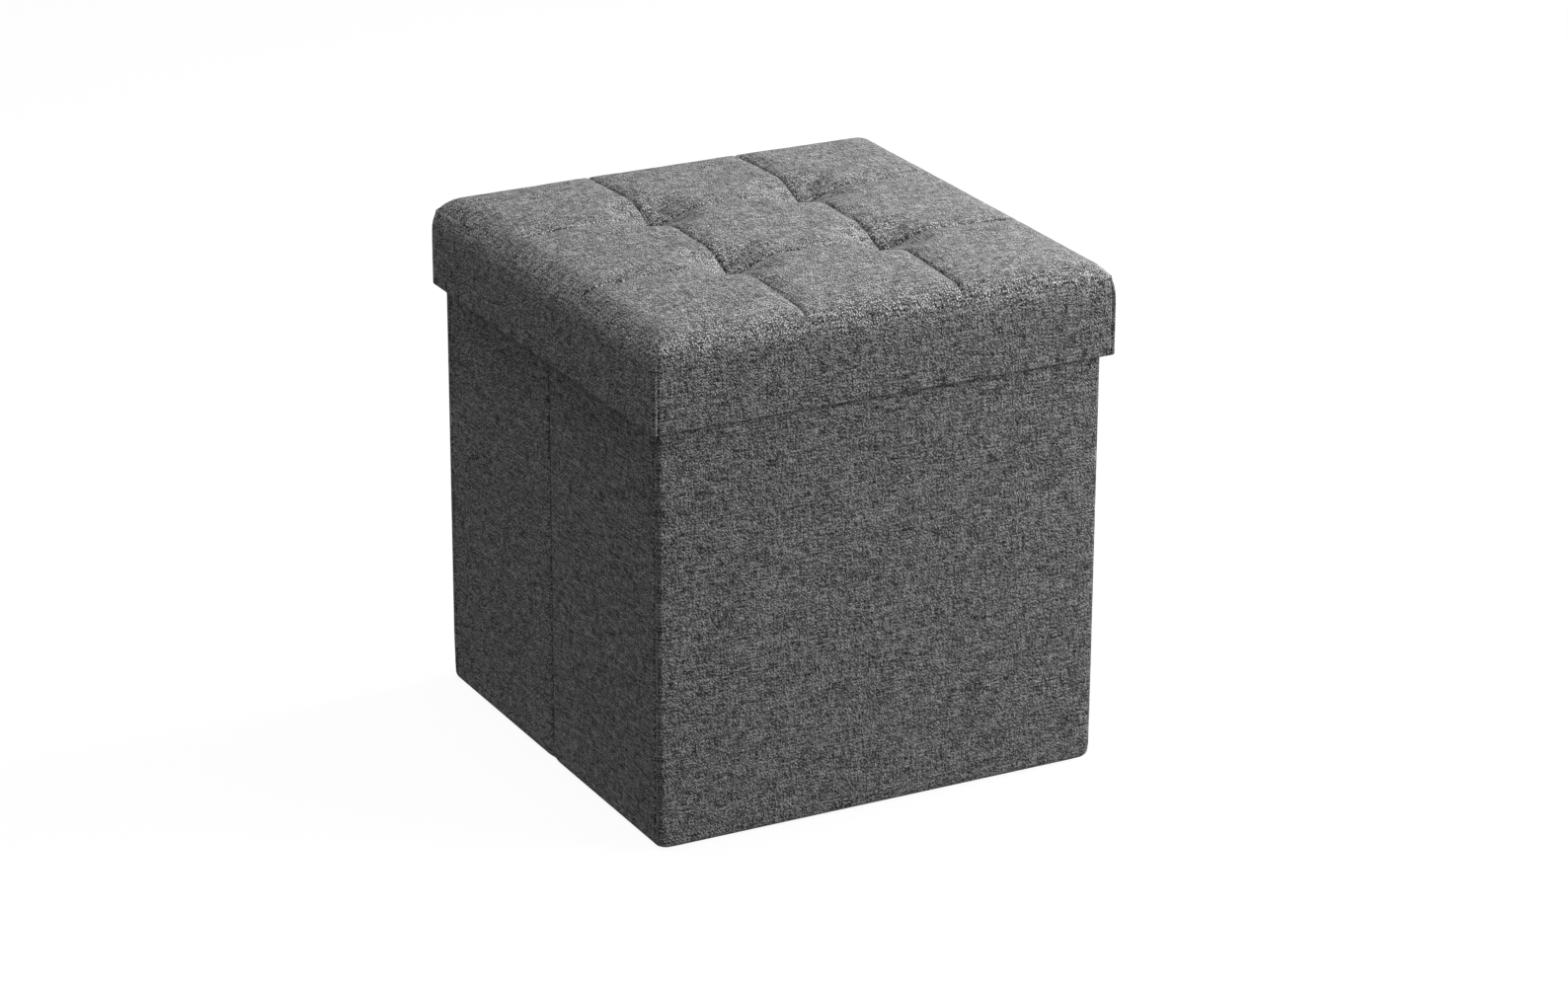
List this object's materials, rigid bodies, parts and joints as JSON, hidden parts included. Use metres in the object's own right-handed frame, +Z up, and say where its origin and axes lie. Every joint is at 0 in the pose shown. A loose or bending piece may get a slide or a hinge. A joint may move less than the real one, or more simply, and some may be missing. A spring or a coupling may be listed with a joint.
{
  "type": "storage ottoman",
  "caption": "Square cloth-covered storage ottoman with a tufted padded lid that lifts off and creased sides that fold the box flat against its rear wall.",
  "frame": {"origin": "on the floor, under the middle of the base", "axes": "+Z up; -Y is the plain front wall's way out; the creased folding sides face -X and +X; the rear wall that the box folds against faces +Y"},
  "size_m": [0.38, 0.38, 0.402],
  "materials": {
    "outer_cloth": "charcoal melange linen weave, matt",
    "hem_cloth": "the same charcoal weave, soft and unbacked",
    "lining": "black non-woven, matt, fine dimples",
    "base_cloth": "black non-woven, matt",
    "panel_board": "raw fibreboard",
    "rim_board": "raw fibreboard strip",
    "foam": "open-cell foam, pale cream",
    "thread": "waxed upholstery cord"
  },
  "bodies": {
    "base": {"base_board": "panel_board", "base_cover": "base_cloth", "base_lining": "lining"},
    "rear_wall": {"rear_board": "panel_board", "rear_cover": "outer_cloth", "rear_lining": "lining", "rear_hem": "hem_cloth"},
    "left_rear": {"left_rear_board": "panel_board", "left_rear_cover": "outer_cloth", "left_rear_lining": "lining", "left_rear_hem": "hem_cloth"},
    "left_front": {"left_front_board": "panel_board", "left_front_cover": "outer_cloth", "left_front_lining": "lining", "left_front_hem": "hem_cloth"},
    "front_wall": {"front_board": "panel_board", "front_cover": "outer_cloth", "front_lining": "lining", "front_hem": "hem_cloth"},
    "right_rear": {"right_rear_board": "panel_board", "right_rear_cover": "outer_cloth", "right_rear_lining": "lining", "right_rear_hem": "hem_cloth"},
    "right_front": {"right_front_board": "panel_board", "right_front_cover": "outer_cloth", "right_front_lining": "lining", "right_front_hem": "hem_cloth"},
    "lid": {"lid_board": "panel_board", "lid_rim_front": "rim_board", "lid_rim_rear": "rim_board", "lid_rim_left": "rim_board", "lid_rim_right": "rim_board", "lid_foam": "foam", "lid_cover": "outer_cloth", "lid_lining": "lining", "tuft_tie_1": "thread", "tuft_tie_2": "thread", "tuft_tie_3": "thread", "tuft_tie_4": "thread"}
  },
  "joints": [
    {"name": "box_lift", "type": "slide", "parent": "base", "child": "rear_wall", "axis": [0, 0, 1], "range_m": [0, 0.1]},
    {"name": "fold", "type": "hinge", "parent": "rear_wall", "child": "left_rear", "pos_m": [-0.17425, 0.17425, 0.18], "axis": [0, 0, 1], "range_deg": [0, 90], "deforming": ["left_rear_hem"]},
    {"name": "left_crease", "type": "hinge", "parent": "left_rear", "child": "left_front", "pos_m": [-0.18275, 0, 0.18], "axis": [0, 0, -1], "range_deg": [0, 180], "deforming": ["left_front_hem"]},
    {"name": "left_front_corner", "type": "hinge", "parent": "left_front", "child": "front_wall", "pos_m": [-0.17425, -0.17425, 0.18], "axis": [0, 0, 1], "range_deg": [0, 90], "deforming": ["front_hem"]},
    {"name": "right_rear_corner", "type": "hinge", "parent": "rear_wall", "child": "right_rear", "pos_m": [0.17425, 0.17425, 0.18], "axis": [0, 0, -1], "range_deg": [0, 90], "deforming": ["right_rear_hem"]},
    {"name": "right_crease", "type": "hinge", "parent": "right_rear", "child": "right_front", "pos_m": [0.18275, 0, 0.18], "axis": [0, 0, 1], "range_deg": [0, 180], "deforming": ["right_front_hem"]},
    {"name": "lid_lift", "type": "slide", "parent": "rear_wall", "child": "lid", "axis": [0, 0, 1], "range_m": [0, 0.3]}
  ],
  "couplings": [
    {"joint": "left_crease", "follows": "fold", "ratio": 2},
    {"joint": "left_front_corner", "follows": "fold", "ratio": 1},
    {"joint": "right_rear_corner", "follows": "fold", "ratio": 1},
    {"joint": "right_crease", "follows": "fold", "ratio": 2}
  ]
}
